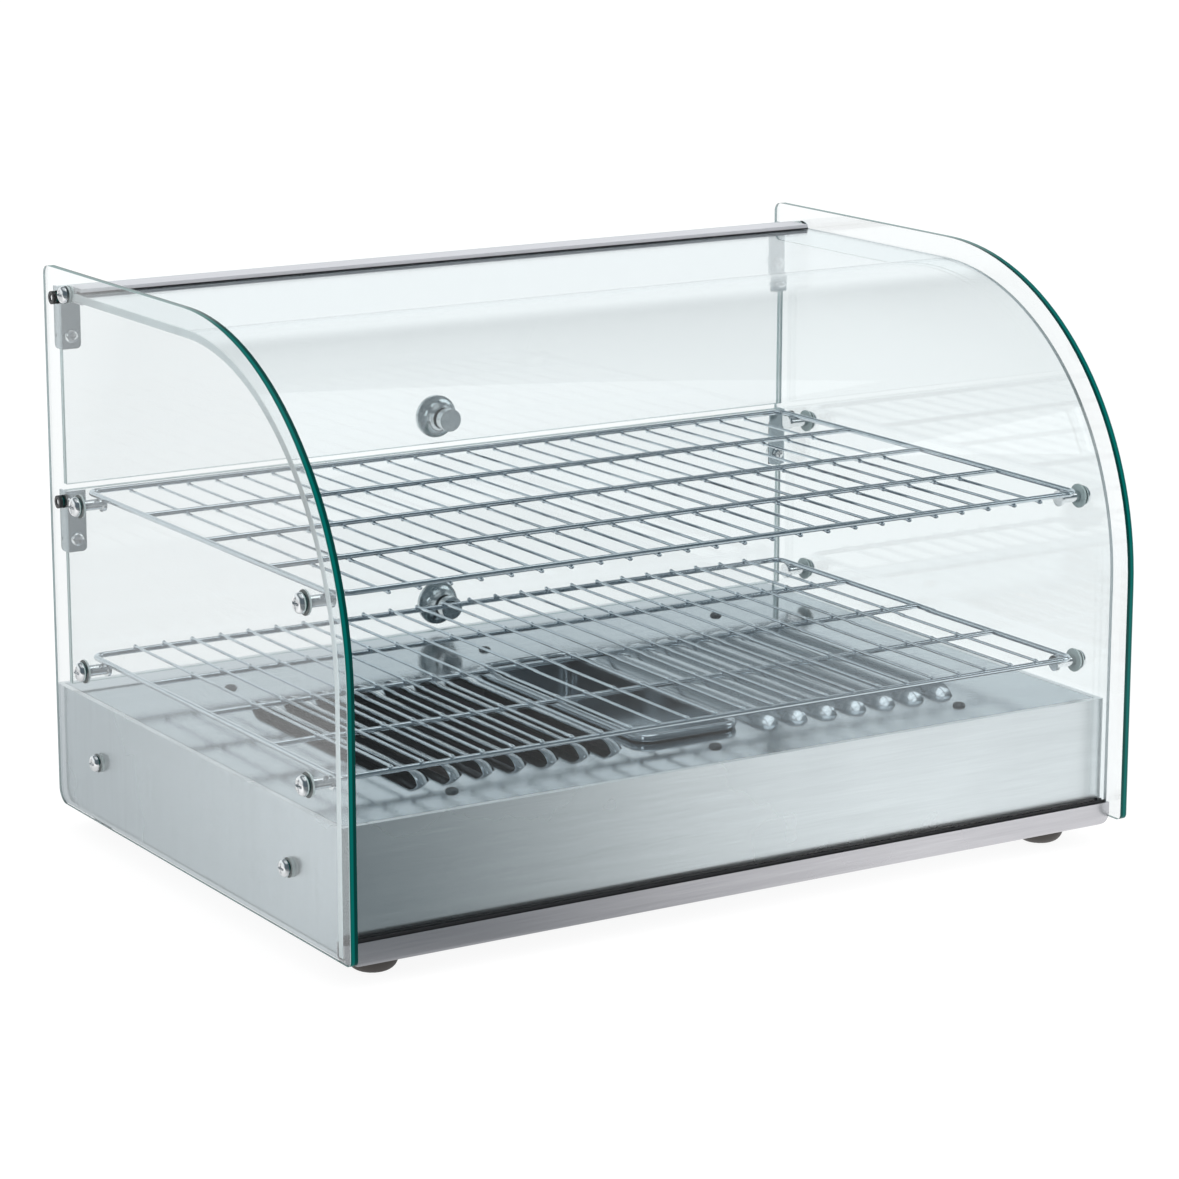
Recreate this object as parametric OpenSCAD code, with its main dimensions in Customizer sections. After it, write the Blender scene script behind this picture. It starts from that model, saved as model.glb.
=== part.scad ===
// Heated counter-top display case with curved glass front, two wire shelves
// and two rear flap doors. Millimetres, +Z up, customer side at -Y, service
// side at +Y, origin on the counter under the middle of the case.

/* [Case] */
// Width over the outer faces of the two side glasses
case_w = 554; // [460:1:680]
// Depth of a side glass, from its front edge to its rear edge
case_d = 392; // [372:1:480]
// Height of a side glass
glass_h = 346; // [338:1:420]
// Thickness of the side, front and door glass
glass_t = 5; // [4:0.5:6]
// Radius of the big front corner of a side glass
corner_r = 195; // [150:1:205]
// How far the bent front glass stands inside the outline of the side glasses
front_inset = 13; // [11:0.5:18]
// Height of the side glass's lower edge over the underside of the base
glass_lift = 1; // [0.5:0.5:3]

/* [Base] */
// Height of the rubber feet
foot_h = 17; // [12:1:30]
// Radius of a foot where it meets the base
foot_r = 15; // [10:0.5:18]
// Height of the steel base box
base_h = 77; // [70:0.5:100]
// How far the base box reaches behind the side glasses
base_back = 7; // [3:0.5:20]
// Gap between the side glass and the base side, filled by the spacers
side_gap = 2; // [1.5:0.5:4]
// Sheet thickness of the base, deck and panels
sheet_t = 1.2; // [0.8:0.1:1.5]
// Width of the folded hem around the deck
hem = 4; // [3:0.5:6]

/* [Deck] */
// Number of louvres on each side of the water tray
louvres = 7; // [3:1:8]
// Distance from one louvre to the next
louvre_pitch = 22.1; // [18:0.1:26]
// Width of a louvre hood
louvre_w = 12.4; // [9:0.1:14]
// Height of a louvre hood over the deck
louvre_h = 6.5; // [4:0.5:8]
// Distance from the middle of the case to the rim of the nearest louvre
louvre_x = 60; // [54:0.5:70]
// Distance from the front edge of the side glass to the louvres and the tray
louvre_y = 74; // [66:0.5:90]
// Length of a louvre along the case
louvre_l = 205; // [150:1:215]
// Width of the water tray over its rim
tray_w = 76; // [60:1:84]
// Length of the water tray over its rim
tray_l = 204; // [150:1:212]
// Depth of the water tray under the deck
tray_depth = 22; // [14:1:30]
// Height of the tray rim over the deck
tray_rim_h = 5.5; // [3:0.5:8]

/* [Shelves] */
// Height of the lower supports over the side glass's lower edge
low_shelf_z = 93.7; // [88:0.1:110]
// Height of the upper supports over the side glass's lower edge
high_shelf_z = 199.5; // [185:0.1:200]
// Distance of the front supports from the front edge of the side glass
support_front = 52; // [46:1:70]
// Distance of the rear supports from the rear edge of the side glass
support_rear = 40; // [36:1:60]
// Length of a support barrel, with its inner washer
barrel_l = 15; // [12:0.5:20]
// Diameter of a support barrel
barrel_d = 7; // [6:0.5:9]
// Diameter of the shelf's frame wire
frame_wire = 3.5; // [3:0.1:4.5]
// Diameter of the shelf's long inner wires
inner_wire = 3.3; // [2.6:0.1:3.4]
// Diameter of the thin cross rods
rod_wire = 1.8; // [1.4:0.1:2.2]
// Number of cross rods in a shelf
rods = 24; // [12:1:26]
// Distance from one cross rod to the next
rod_pitch = 20; // [14:0.1:21]

/* [Doors] */
// Distance of the door pivots from the rear edge of the side glass
pivot_back = 16; // [13:0.1:20]
// Height of the upper pivot over the side glass's lower edge
high_pivot_z = 327.5; // [326:0.5:330]
// Height of the lower pivot over the side glass's lower edge
low_pivot_z = 198.5; // [196:0.5:200]
// Height of a door glass
door_h = 125; // [100:1:125]
// How far a door glass reaches over its pivot
door_over = 6; // [4:0.5:6]
// Diameter of a pivot pin
pin_d = 4; // [3:0.5:4]
// Diameter of the flared knob's rim
knob_d = 29; // [22:1:30]
// Length of the flared knob
knob_l = 11; // [9:0.5:14]
// Height of the knob over the lower edge of its door
knob_up = 16; // [15.5:0.5:30]

/* [Controls] */
// Diameter of the thermostat dial
dial_d = 38; // [28:1:42]
// Length of the thermostat dial
dial_l = 16; // [12:1:22]
// Bore of the cord gland
gland_bore = 8; // [6:0.5:10]

/* [Fits] */
// Radial clearance of a pin or shaft that turns in its bush
running_gap = 0.05; // [0.02:0.01:0.1]
// Clearance between a resting piece and its seat
rest_gap = 0.25; // [0.2:0.05:0.5]
// Clearance between sheet edges that lie side by side
sheet_gap = 0.3; // [0.2:0.1:0.6]
// How far a welded cross rod is sunk into the wire that it crosses
weld_sink = 0.15; // [0.1:0.05:0.3]

/* [Hidden] */
$fn = 48;

// Lengths run back from the front edge of the side glasses while the pieces are made;
// place() then moves them so that the origin is under the middle of the whole case.
outer_x = case_w / 2;
inner_x = outer_x - glass_t;
glass_z = foot_h + glass_lift;
glass_top = glass_z + glass_h;
base_x = inner_x - side_gap;
base_top = foot_h + base_h;
rear_y = case_d + base_back;
panel_gap = 0.6;
overall_d = rear_y + panel_gap + dial_l;

// Front glass, its channel and its seals
seal_t = 0.8;
front_x = inner_x - 0.5;
front_out_y = front_inset;
front_in_y = front_inset + glass_t;
front_top = glass_top - front_inset;
channel_wall = 1.2;
trim_back_y = front_in_y + seal_t + channel_wall;
trim_front_y = front_out_y - seal_t - 1.7;
trim_low_z = foot_h - 3.6;
trim_top_z = foot_h + 10.8;
trim_slot_z = foot_h + 1.5;
trim_end_r = 8;
base_y = trim_back_y;

// Rear rail
rail_depth = 21.5;
rail_h = 10;
rail_rear_y = case_d - 23.5;
rail_y = rail_rear_y - rail_depth;
rail_cap = 3;
rail_top_z = front_top + rail_cap;
rail_grip = 6;
rail_wall = 1.5;
rail_pocket = 12;
rail_end_gap = 3.6;
rail_x = inner_x - rail_end_gap;
rail_bore_y = rail_rear_y - rail_pocket / 2 - rail_wall / 2;
rail_bore_z = rail_top_z - rail_h / 2;
rail_plug_l = 16;

// Supports
high_z = glass_z + high_shelf_z;
low_z = glass_z + low_shelf_z;
sup_f = support_front;
sup_r = case_d - support_rear;
washer_t = 1.2;
thin_washer_t = 0.8;
support_bore_r = 2.55;
support_screw_r = 2.5;

// Base screws through the side glass
base_screw_z = foot_h + 39.3;
base_screw_f = 77.7;
base_screw_r = case_d - 56.7;

// Doors
door_x = inner_x - 4;
pivot_y = case_d - pivot_back;
door_in_y = pivot_y + 1.6;
door_out_y = door_in_y + glass_t;
bracket_t = 1.4;
bracket_in_y = pivot_y - 1.2;
bracket_out_y = door_out_y + 2.7;
bracket_w = 13;
bracket_drop = 33;
bracket_x = inner_x - 2;
bracket_screw_drop = 25;
bracket_bend_r = 2;
bracket_screw_x = bracket_x - 6.5;
high_pivot = glass_z + high_pivot_z;
low_pivot = glass_z + low_pivot_z;
pin_r = pin_d / 2;
bush_r = pin_r + 1.1;
bush_cap_l = 2.4;

// Deck
seat_w = 14;
deck_screw_x = 182;
deck_screw_f = base_y + 33;
deck_screw_r = louvre_y + louvre_l + 49;
deck_z = base_top - sheet_t;
tray_r = 13;
tray_wall = 1;
tray_y = louvre_y + 4 + tray_l / 2;
tray_bead_r = (tray_rim_h - rest_gap) / 2;
well_w = tray_w - 4 * tray_bead_r + 1.6;
well_l = tray_l - 4 * tray_bead_r + 1.6;
well_r = tray_r - 2 * tray_bead_r + 0.8;
well_gap = 0.8;

// Shelf wires
shelf_x = inner_x - 12.5;
shelf_f = support_front - 13.5;
shelf_r = sup_r + 13.5;
shelf_bend_r = 7;

// Rear controls, measured from the middle of the case
control_z = foot_h + 40;
dial_x = 165;
rocker_x = 95;
lamp_x = 52;
gland_x = -190;
rocker_w = 25;
rocker_h = 19;
rocker_tilt = 9;
rocker_axis_y = rear_y - 3;
shaft_r = 3;

module place() { translate([0, -overall_d / 2, 0]) children(); }

// A YZ outline extruded along X from x0 to x1
module along_x(x0, x1) {
    translate([x0, 0, 0]) rotate([90, 0, 90]) linear_extrude(x1 - x0) children();
}

// A round bar along X, Y or Z from a start point
module bar_x(x, y, z, r, l) { translate([x, y, z]) rotate([0, 90, 0]) cylinder(r = r, h = l); }
module bar_y(x, y, z, r, l) { translate([x, y, z]) rotate([-90, 0, 0]) cylinder(r = r, h = l); }
module bar_z(x, y, z, r, l) { translate([x, y, z]) cylinder(r = r, h = l); }

module block(x0, x1, y0, y1, z0, z1) {
    translate([x0, y0, z0]) cube([x1 - x0, y1 - y0, z1 - z0]);
}

// What is cut away to round a square corner, in the first quadrant
module corner_cut(r) {
    difference() {
        translate([-1, -1]) square(r + 1);
        translate([r, r]) circle(r = r, $fn = 96);
    }
}

// Rounded rectangle about the origin
module round_rect(w, d, r) {
    difference() {
        square([w, d], center = true);
        for (sx = [-1, 1], sy = [-1, 1])
            translate([sx * w / 2, sy * d / 2]) scale([-sx, -sy]) corner_cut(r);
    }
}

// Low domed screw head, its flat side at the origin, rising along +Z
module domed_head(r, h) {
    dome_r = (r * r + h * h) / (2 * h);
    difference() {
        rotate_extrude() intersection() {
            translate([0, h - dome_r]) circle(r = dome_r, $fn = 96);
            square([r, h]);
        }
        for (a = [0, 90]) rotate([0, 0, a])
            translate([-0.5 * r, -0.11 * r, 0.4 * h]) cube([r, 0.22 * r, h]);
    }
}

// Copies a right-hand piece to both ends of the case
module both_ends() {
    children();
    mirror([1, 0, 0]) children();
}

// --- Glass ---------------------------------------------------------------

module side_outline() {
    difference() {
        translate([0, glass_z]) square([case_d, glass_h]);
        translate([0, glass_top]) mirror([0, 1]) corner_cut(corner_r);
        translate([case_d, glass_top]) rotate(180) corner_cut(6);
        translate([case_d, glass_z]) mirror([1, 0]) corner_cut(10);
        translate([0, glass_z]) corner_cut(4);
    }
}

module support_places() {
    for (y = [sup_f, sup_r], z = [low_z, high_z]) translate([0, y, z]) children();
}

module base_screw_places() {
    for (y = [base_screw_f, base_screw_r]) translate([0, y, base_screw_z]) children();
}

module side_glass() {
    difference() {
        along_x(inner_x, outer_x) side_outline();
        support_places() bar_x(inner_x - 1, 0, 0, 5, glass_t + 2);
        base_screw_places() bar_x(inner_x - 1, 0, 0, 4.5, glass_t + 2);
        bar_x(inner_x - 1, rail_bore_y, rail_bore_z, 2.05, glass_t + 2);
        for (z = [low_pivot, high_pivot])
            bar_x(inner_x - 1, pivot_y, z, bush_r + 0.1, glass_t + 2);
    }
}

module side_glass_right() { color([0.78, 0.90, 0.88, 0.35]) place() side_glass(); }
module side_glass_left() { color([0.78, 0.90, 0.88, 0.35]) place() mirror([1, 0, 0]) side_glass(); }

// Region under the bent glass, stepped in from the side glass outline
module bent_region(step, low, back) {
    y0 = front_inset + step;
    z1 = front_top - step;
    r = corner_r - front_inset - step;
    difference() {
        translate([y0, low]) square([back - y0, z1 - low]);
        translate([y0, z1]) mirror([0, 1]) corner_cut(r);
    }
}

module front_glass() {
    color([0.80, 0.91, 0.90, 0.35]) place()
        along_x(-front_x, front_x) difference() {
            bent_region(0, trim_slot_z + seal_t, rail_y + rail_grip);
            bent_region(glass_t, trim_slot_z, rail_y + rail_grip + 1);
        }
}

// --- Rear rail -----------------------------------------------------------

module top_rail() {
    slot_low = front_top - glass_t - seal_t;
    slot_high = front_top + seal_t;
    color("silver") place() along_x(-rail_x, rail_x) difference() {
        translate([rail_y, rail_top_z - rail_h]) square([rail_depth, rail_h]);
        translate([rail_y - 1, slot_low]) square([rail_grip + seal_t + 1, slot_high - slot_low]);
        translate([rail_rear_y - rail_pocket, rail_top_z - rail_h + rail_wall])
            square([rail_pocket - rail_wall, rail_h - 2 * rail_wall]);
        translate([rail_rear_y, rail_top_z]) rotate(180) corner_cut(2);
        translate([rail_rear_y, rail_top_z - rail_h]) mirror([1, 0]) corner_cut(2);
    }
}

module rail_plugs() {
    color([0.2, 0.2, 0.2]) place() both_ends() difference() {
        block(rail_x - rail_plug_l, rail_x, rail_rear_y - rail_pocket, rail_rear_y - rail_wall,
              rail_top_z - rail_h + rail_wall, rail_top_z - rail_wall);
        bar_x(rail_x - rail_plug_l - 1, rail_bore_y, rail_bore_z, 2.05, rail_plug_l + 2);
    }
}

module rail_gasket() {
    color([0.06, 0.06, 0.07]) place() along_x(-rail_x, rail_x) difference() {
        translate([rail_y - seal_t, front_top - glass_t - seal_t])
            square([rail_grip + 2 * seal_t, glass_t + 2 * seal_t]);
        translate([rail_y - 2, front_top - glass_t]) square([rail_grip + 2, glass_t]);
    }
}

// Stack of washers that fills the space between the rail and the side glass
module rail_spacers() {
    step = rail_end_gap / 3;
    color([0.75, 0.80, 0.80]) place() both_ends() difference() {
        for (i = [0:2])
            bar_x(rail_x + i * step, rail_bore_y, rail_bore_z, i == 1 ? 4.4 : 5.4, step);
        bar_x(rail_x - 1, rail_bore_y, rail_bore_z, 2.05, rail_end_gap + 2);
    }
}

module rail_screws() {
    color("silver") place() both_ends() translate([outer_x, rail_bore_y, rail_bore_z]) {
        rotate([0, 90, 0]) domed_head(5.4, 3.2);
        bar_x(-glass_t - rail_end_gap - 12, 0, 0, 2, glass_t + rail_end_gap + 12);
    }
}

// --- Front channel -------------------------------------------------------

module front_trim() {
    color([0.72, 0.72, 0.75]) place() {
        intersection() {
            along_x(-front_x, front_x) difference() {
                translate([trim_front_y, trim_low_z])
                    square([trim_back_y - trim_front_y, trim_top_z - trim_low_z]);
                translate([front_out_y - seal_t, trim_slot_z])
                    square([glass_t + 2 * seal_t, trim_top_z]);
                translate([trim_front_y, trim_low_z]) corner_cut(2.5);
            }
            translate([0, trim_back_y + 1, trim_low_z]) rotate([90, 0, 0])
                linear_extrude(trim_back_y - trim_front_y + 2) difference() {
                    translate([-front_x, 0]) square([2 * front_x, trim_top_z - trim_low_z]);
                    translate([-front_x, 0]) corner_cut(trim_end_r);
                    translate([front_x, 0]) mirror([1, 0]) corner_cut(trim_end_r);
                }
        }
        block(-200, 200, trim_back_y - 1, trim_back_y + 12, foot_h - sheet_t, foot_h);
    }
}

module trim_gasket() {
    color([0.05, 0.05, 0.06]) place() along_x(-front_x + 2, front_x - 2) difference() {
        translate([front_out_y - seal_t, trim_slot_z])
            square([glass_t + 2 * seal_t, trim_top_z + 1.5 - trim_slot_z]);
        translate([front_out_y, trim_slot_z + seal_t]) square([glass_t, trim_top_z]);
    }
}

// --- Base box ------------------------------------------------------------

seat_f = deck_screw_f + 12;
seat_r = deck_screw_r - 12;
flange_w = 10;
panel_screw_x = base_x - 6.5;
foot_round = 8;
foot_sink = 8;
foot_sink_r = 4.3;

module base_shell() {
    color([0.74, 0.76, 0.78]) place() difference() {
        block(-base_x, base_x, base_y, rear_y, foot_h, base_top);
        // room inside, open at the back and the bottom
        block(-base_x + sheet_t, base_x - sheet_t, base_y + sheet_t, rear_y - 2 * sheet_t,
              foot_h - 1, deck_z - sheet_t);
        block(-base_x + flange_w, base_x - flange_w, rear_y - 3 * sheet_t, rear_y + 1,
              foot_h - 1, deck_z - sheet_t);
        block(-base_x + sheet_t, base_x - sheet_t, rear_y - sheet_t, rear_y + 1,
              foot_h - 1, deck_z - sheet_t);
        block(-base_x + sheet_t, base_x - sheet_t, rear_y - 3 * sheet_t, rear_y + 1,
              foot_h - 1, foot_h + flange_w + 1);
        // seat of the deck
        block(-base_x + hem, base_x - hem, base_y + hem, rear_y - hem, deck_z, base_top + 1);
        block(-base_x + hem + seat_w, base_x - hem - seat_w, seat_f, seat_r,
              deck_z - 2 * sheet_t, base_top);
        deck_screw_places() bar_z(0, 0, deck_z - 3, 2.1, 4);
        base_screw_places() bar_x(-base_x - 1, 0, 0, 2.2, 2 * base_x + 2);
        panel_screw_places() bar_y(0, -3 * sheet_t, 0, 1.6, 3 * sheet_t);
    }
}

module panel_screw_places() {
    for (x = [-panel_screw_x, panel_screw_x], z = [foot_h + 18, base_top - 14])
        translate([x, rear_y, z]) children();
}

module foot_places() {
    for (x = [-1, 1], y = [base_y + 21.5, rear_y - 21.5])
        translate([x * (base_x - 29.5), y, 0]) children();
}

module base_floor() {
    x = base_x - sheet_t;
    color([0.66, 0.68, 0.70]) place() difference() {
        block(-x, x, base_y + sheet_t, rear_y - sheet_t, foot_h, foot_h + flange_w);
        block(-x + sheet_t, x - sheet_t, base_y + 2 * sheet_t, rear_y - 2 * sheet_t,
              foot_h + sheet_t, foot_h + flange_w + 1);
        foot_places() bar_z(0, 0, foot_h - 1, 2.2, 4);
        for (s = [-1, 1], i = [0:5])
            block(s * 130 - 35, s * 130 + 35, 140 + i * 18, 144 + i * 18, foot_h - 1, foot_h + 3);
    }
}

module rear_panel() {
    x = base_x - sheet_t;
    color([0.74, 0.76, 0.78]) place() difference() {
        block(-x, x, rear_y - sheet_t, rear_y, foot_h, deck_z - sheet_t);
        bar_y(dial_x, rear_y - 3, control_z, 5, 5);
        bar_y(lamp_x, rear_y - 3, control_z, 5, 5);
        bar_y(gland_x, rear_y - 3, control_z, 8, 5);
        block(rocker_x - rocker_w / 2 - 1.5, rocker_x + rocker_w / 2 + 1.5, rear_y - 3, rear_y + 1,
              control_z - rocker_h / 2 - 1.5, control_z + rocker_h / 2 + 1.5);
        panel_screw_places() bar_y(0, -3, 0, 2, 4);
    }
}

module panel_screws() {
    color("silver") place() panel_screw_places() {
        rotate([-90, 0, 0]) domed_head(3.5, 2);
        bar_y(0, -6, 0, 1.55, 6);
    }
}

module feet() {
    color([0.16, 0.15, 0.14]) place() foot_places() difference() {
        rotate_extrude() difference() {
            square([foot_r, foot_h]);
            translate([foot_r, 0]) mirror([1, 0]) corner_cut(foot_round);
        }
        bar_z(0, 0, -1, foot_sink_r, foot_sink);
        bar_z(0, 0, 0, 2.2, foot_h + 1);
    }
}

module foot_screws() {
    color("silver") place() foot_places() {
        bar_z(0, 0, foot_sink - 4, foot_sink_r - 0.7, 3);
        bar_z(0, 0, foot_sink - 2, 2, foot_h + 6 - foot_sink);
        difference() {
            bar_z(0, 0, foot_h + sheet_t, 4, 3);
            bar_z(0, 0, foot_h, 1, 3);
        }
    }
}

module base_spacers() {
    color([0.80, 0.85, 0.85]) place() both_ends() base_screw_places() difference() {
        union() {
            bar_x(base_x, 0, 0, 6, side_gap);
            bar_x(inner_x, 0, 0, 4.4, glass_t);
        }
        bar_x(base_x - 1, 0, 0, 2.1, glass_t + side_gap + 2);
    }
}

module base_screws() {
    color("silver") place() both_ends() base_screw_places() {
        translate([outer_x, 0, 0]) rotate([0, 90, 0]) domed_head(5.4, 3);
        bar_x(base_x - 8, 0, 0, 2, outer_x - base_x + 8);
        bar_x(base_x - sheet_t - 3.2, 0, 0, 4, 3.2);
    }
}

// --- Deck ----------------------------------------------------------------

module deck_screw_places() {
    for (x = [-deck_screw_x, 0, deck_screw_x], y = [deck_screw_f, deck_screw_r])
        translate([x, y, 0]) children();
}

hood_r = (louvre_w * louvre_w + louvre_h * louvre_h) / (2 * louvre_h);
hood_t = 0.9;

// Section of a hood: rim over x = 0, foot sunk in the deck at x = louvre_w
module hood_section() {
    intersection() {
        difference() {
            translate([0, louvre_h - hood_r]) circle(r = hood_r, $fn = 96);
            translate([0, louvre_h - hood_r]) circle(r = hood_r - hood_t, $fn = 96);
        }
        translate([0, -sheet_t / 2]) square([louvre_w + 2, louvre_h + sheet_t]);
    }
}

// One louvre hood that opens towards -X, its rim along x = 0
module hood() {
    end = louvre_w;
    rotate([90, 0, 180]) mirror([1, 0, 0]) translate([0, 0, end])
        linear_extrude(louvre_l - 2 * end) hood_section();
    translate([0, end, 0]) rotate([0, 0, -90]) rotate_extrude(angle = 90) hood_section();
    translate([0, louvre_l - end, 0]) rotate_extrude(angle = 90) hood_section();
}

// Slot that the hood was pressed out of
module slot_outline() {
    w = louvre_w - 2;
    translate([0, louvre_w]) square([w, louvre_l - 2 * louvre_w]);
    for (y = [louvre_w, louvre_l - louvre_w]) intersection() {
        translate([0, y]) circle(r = w);
        translate([0, y - w]) square([w, 2 * w]);
    }
}

module louvre_places() {
    for (s = [-1, 1], i = [0:louvres - 1])
        scale([s, 1, 1]) translate([-(louvre_x + i * louvre_pitch), louvre_y, 0]) children();
}

module deck_panel() {
    x = base_x - hem - sheet_gap;
    y0 = base_y + hem + sheet_gap;
    y1 = rear_y - hem - sheet_gap;
    color([0.80, 0.81, 0.83]) place() {
        difference() {
            block(-x, x, y0, y1, deck_z, base_top);
            deck_screw_places() bar_z(0, 0, deck_z - 1, 2.1, 4);
            translate([0, tray_y, deck_z - 1]) linear_extrude(4)
                round_rect(well_w + 2 * well_gap, well_l + 2 * well_gap, well_r + well_gap);
            louvre_places() translate([0, 0, deck_z - 1]) linear_extrude(4) slot_outline();
        }
        louvre_places() translate([0, 0, base_top]) hood();
    }
}

module deck_screws() {
    color("silver") place() deck_screw_places() {
        translate([0, 0, base_top]) domed_head(4, 2.2);
        bar_z(0, 0, base_top - 8, 2, 8);
    }
}

// Drawn well that hangs through the deck from a rolled bead
module water_tray() {
    b = tray_bead_r;
    z = base_top + rest_gap + b;
    x = tray_w / 2 - b;
    y = tray_l / 2 - b;
    k = tray_r - b;
    color([0.78, 0.79, 0.80]) place() translate([0, tray_y, 0]) {
        difference() {
            union() {
                for (s = [-1, 1]) {
                    bar_x(-x + k, s * y, z, b, 2 * (x - k));
                    bar_y(s * x, -y + k, z, b, 2 * (y - k));
                }
                for (sx = [-1, 1], sy = [-1, 1]) translate([sx * (x - k), sy * (y - k), z])
                    scale([sx, sy, 1]) rotate_extrude(angle = 90)
                        translate([k, 0]) circle(r = b, $fn = 32);
                translate([0, 0, base_top - tray_depth]) linear_extrude(z - base_top + tray_depth)
                    round_rect(well_w, well_l, well_r);
            }
            translate([0, 0, base_top - tray_depth + tray_wall])
                linear_extrude(tray_depth + tray_rim_h)
                    round_rect(well_w - 2 * tray_wall, well_l - 2 * tray_wall, well_r - tray_wall);
        }
    }
}

// --- Shelf supports ------------------------------------------------------

module standoff_barrels() {
    color("silver") place() both_ends() support_places() difference() {
        bar_x(inner_x - barrel_l, 0, 0, barrel_d / 2, barrel_l - washer_t);
        bar_x(inner_x - barrel_l - 1, 0, 0, support_bore_r, barrel_l + 2);
    }
}

// Inner cup washer, outer washer and the bush in the hole of the glass
module standoff_washers() {
    color([0.82, 0.86, 0.86]) place() both_ends() support_places() difference() {
        union() {
            bar_x(inner_x - washer_t, 0, 0, 7.5, washer_t);
            bar_x(inner_x, 0, 0, 4.9, glass_t);
            bar_x(outer_x, 0, 0, 6.2, thin_washer_t);
        }
        bar_x(inner_x - 3, 0, 0, support_bore_r, glass_t + 6);
    }
}

module standoff_screws() {
    head_x = outer_x + thin_washer_t;
    color("silver") place() both_ends() support_places() {
        translate([head_x, 0, 0]) rotate([0, 90, 0]) domed_head(6.2, 3.2);
        bar_x(inner_x - 8, 0, 0, support_screw_r, head_x - inner_x + 8);
    }
}

module standoff_caps() {
    color("silver") place() both_ends() support_places() {
        bar_x(inner_x - barrel_l - 2, 0, 0, 5, 2);
        bar_x(inner_x - barrel_l - 2, 0, 0, support_screw_r, 6);
    }
}

// Black nylon bushes for the door pins, each a cap outside and a collar inside
module pivot_bushes() {
    color([0.05, 0.05, 0.05]) place() both_ends() for (z = [low_pivot, high_pivot])
        translate([0, pivot_y, z]) difference() {
            union() {
                bar_x(inner_x - 1.7, 0, 0, bush_r + 1.1, 1.7);
                bar_x(inner_x - 1, 0, 0, bush_r, glass_t + 2);
                bar_x(outer_x, 0, 0, bush_r + 1, bush_cap_l);
            }
            bar_x(inner_x - 3, 0, 0, pin_r + running_gap, glass_t + bush_cap_l + 4);
        }
}

// --- Wire shelves --------------------------------------------------------

// Frame wire with its four bends, and three long wires welded between the sides
module shelf_frame(z) {
    r = frame_wire / 2;
    b = shelf_bend_r;
    gap = (shelf_r - shelf_f) / 4;
    translate([0, 0, z]) {
        for (y = [shelf_f, shelf_r]) bar_x(-shelf_x + b, y, 0, r, 2 * (shelf_x - b));
        for (x = [-shelf_x, shelf_x]) bar_y(x, shelf_f + b, 0, r, shelf_r - shelf_f - 2 * b);
        for (sx = [-1, 1], sy = [0, 1])
            translate([sx * (shelf_x - b), sy == 0 ? shelf_f + b : shelf_r - b, 0])
                scale([sx, sy == 0 ? -1 : 1, 1])
                    rotate_extrude(angle = 90) translate([b, 0]) circle(r = r, $fn = 24);
        for (i = [1:3]) bar_x(-shelf_x, shelf_f + i * gap, 0, inner_wire / 2, 2 * shelf_x);
    }
}

module shelf_rods(z) {
    for (i = [0:rods - 1])
        bar_y((i - (rods - 1) / 2) * rod_pitch, shelf_f - 2.5, z, rod_wire / 2,
              shelf_r - shelf_f + 4);
}

frame_rise = barrel_d / 2 + rest_gap + frame_wire / 2;
rod_step = (frame_wire + rod_wire) / 2 - weld_sink;

module upper_shelf_frame() { color([0.80, 0.82, 0.84]) place() shelf_frame(high_z + frame_rise); }
module upper_shelf_rods() { color([0.80, 0.82, 0.84]) place() shelf_rods(high_z + frame_rise - rod_step); }
module lower_shelf_frame() { color([0.80, 0.82, 0.84]) place() shelf_frame(low_z + frame_rise); }
module lower_shelf_rods() { color([0.80, 0.82, 0.84]) place() shelf_rods(low_z + frame_rise + rod_step); }

// --- Doors: every module takes the height of the pivot -------------------

module door_glass(p) {
    low = p + door_over - door_h;
    difference() {
        block(-door_x, door_x, door_in_y, door_out_y, low, p + door_over);
        bar_y(0, door_in_y - 1, low + knob_up, 4, glass_t + 2);
        for (s = [-1, 1])
            bar_y(s * bracket_screw_x, door_in_y - 1, p - bracket_screw_drop, 2.5, glass_t + 2);
    }
}

module door_brackets(p) {
    both_ends() difference() {
        union() {
            block(bracket_x - bracket_t, bracket_x, bracket_in_y, bracket_out_y,
                  p - bracket_drop, p + door_over);
            block(bracket_x - bracket_w, bracket_x, bracket_in_y, bracket_in_y + bracket_t,
                  p - bracket_drop, p + door_over);
        }
        translate([0, bracket_out_y, p - bracket_drop]) rotate([90, 0, 90])
            linear_extrude(inner_x) mirror([1, 0]) corner_cut(3);
        translate([bracket_x - bracket_w, bracket_in_y + bracket_t + 0.1, p - bracket_drop])
            rotate([90, 0, 0]) linear_extrude(bracket_t + 0.2) corner_cut(3);
        translate([bracket_x, bracket_in_y, p - bracket_drop - 1]) mirror([1, 0, 0])
            linear_extrude(bracket_drop + door_over + 2) corner_cut(bracket_bend_r);
        bar_x(bracket_x - 3, pivot_y, p, pin_r, 4);
        bar_x(bracket_x - 3, bracket_out_y - 2.3, p - bracket_screw_drop, 1, 4);
        bar_y(bracket_screw_x, bracket_in_y - 1, p - bracket_screw_drop, 2.05, 4);
    }
}

module door_pads(p) {
    both_ends() difference() {
        block(bracket_x - bracket_w + 0.5, door_x, bracket_in_y + bracket_t, door_in_y,
              p - bracket_drop + 0.5, p - 3);
        bar_y(bracket_screw_x, bracket_in_y, p - bracket_screw_drop, 2.05, 10);
    }
}

module door_pins(p) {
    both_ends() {
        bar_x(bracket_x - bracket_t, pivot_y, p, pin_r,
              outer_x + bush_cap_l - 0.5 - bracket_x + bracket_t);
    }
}

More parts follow.
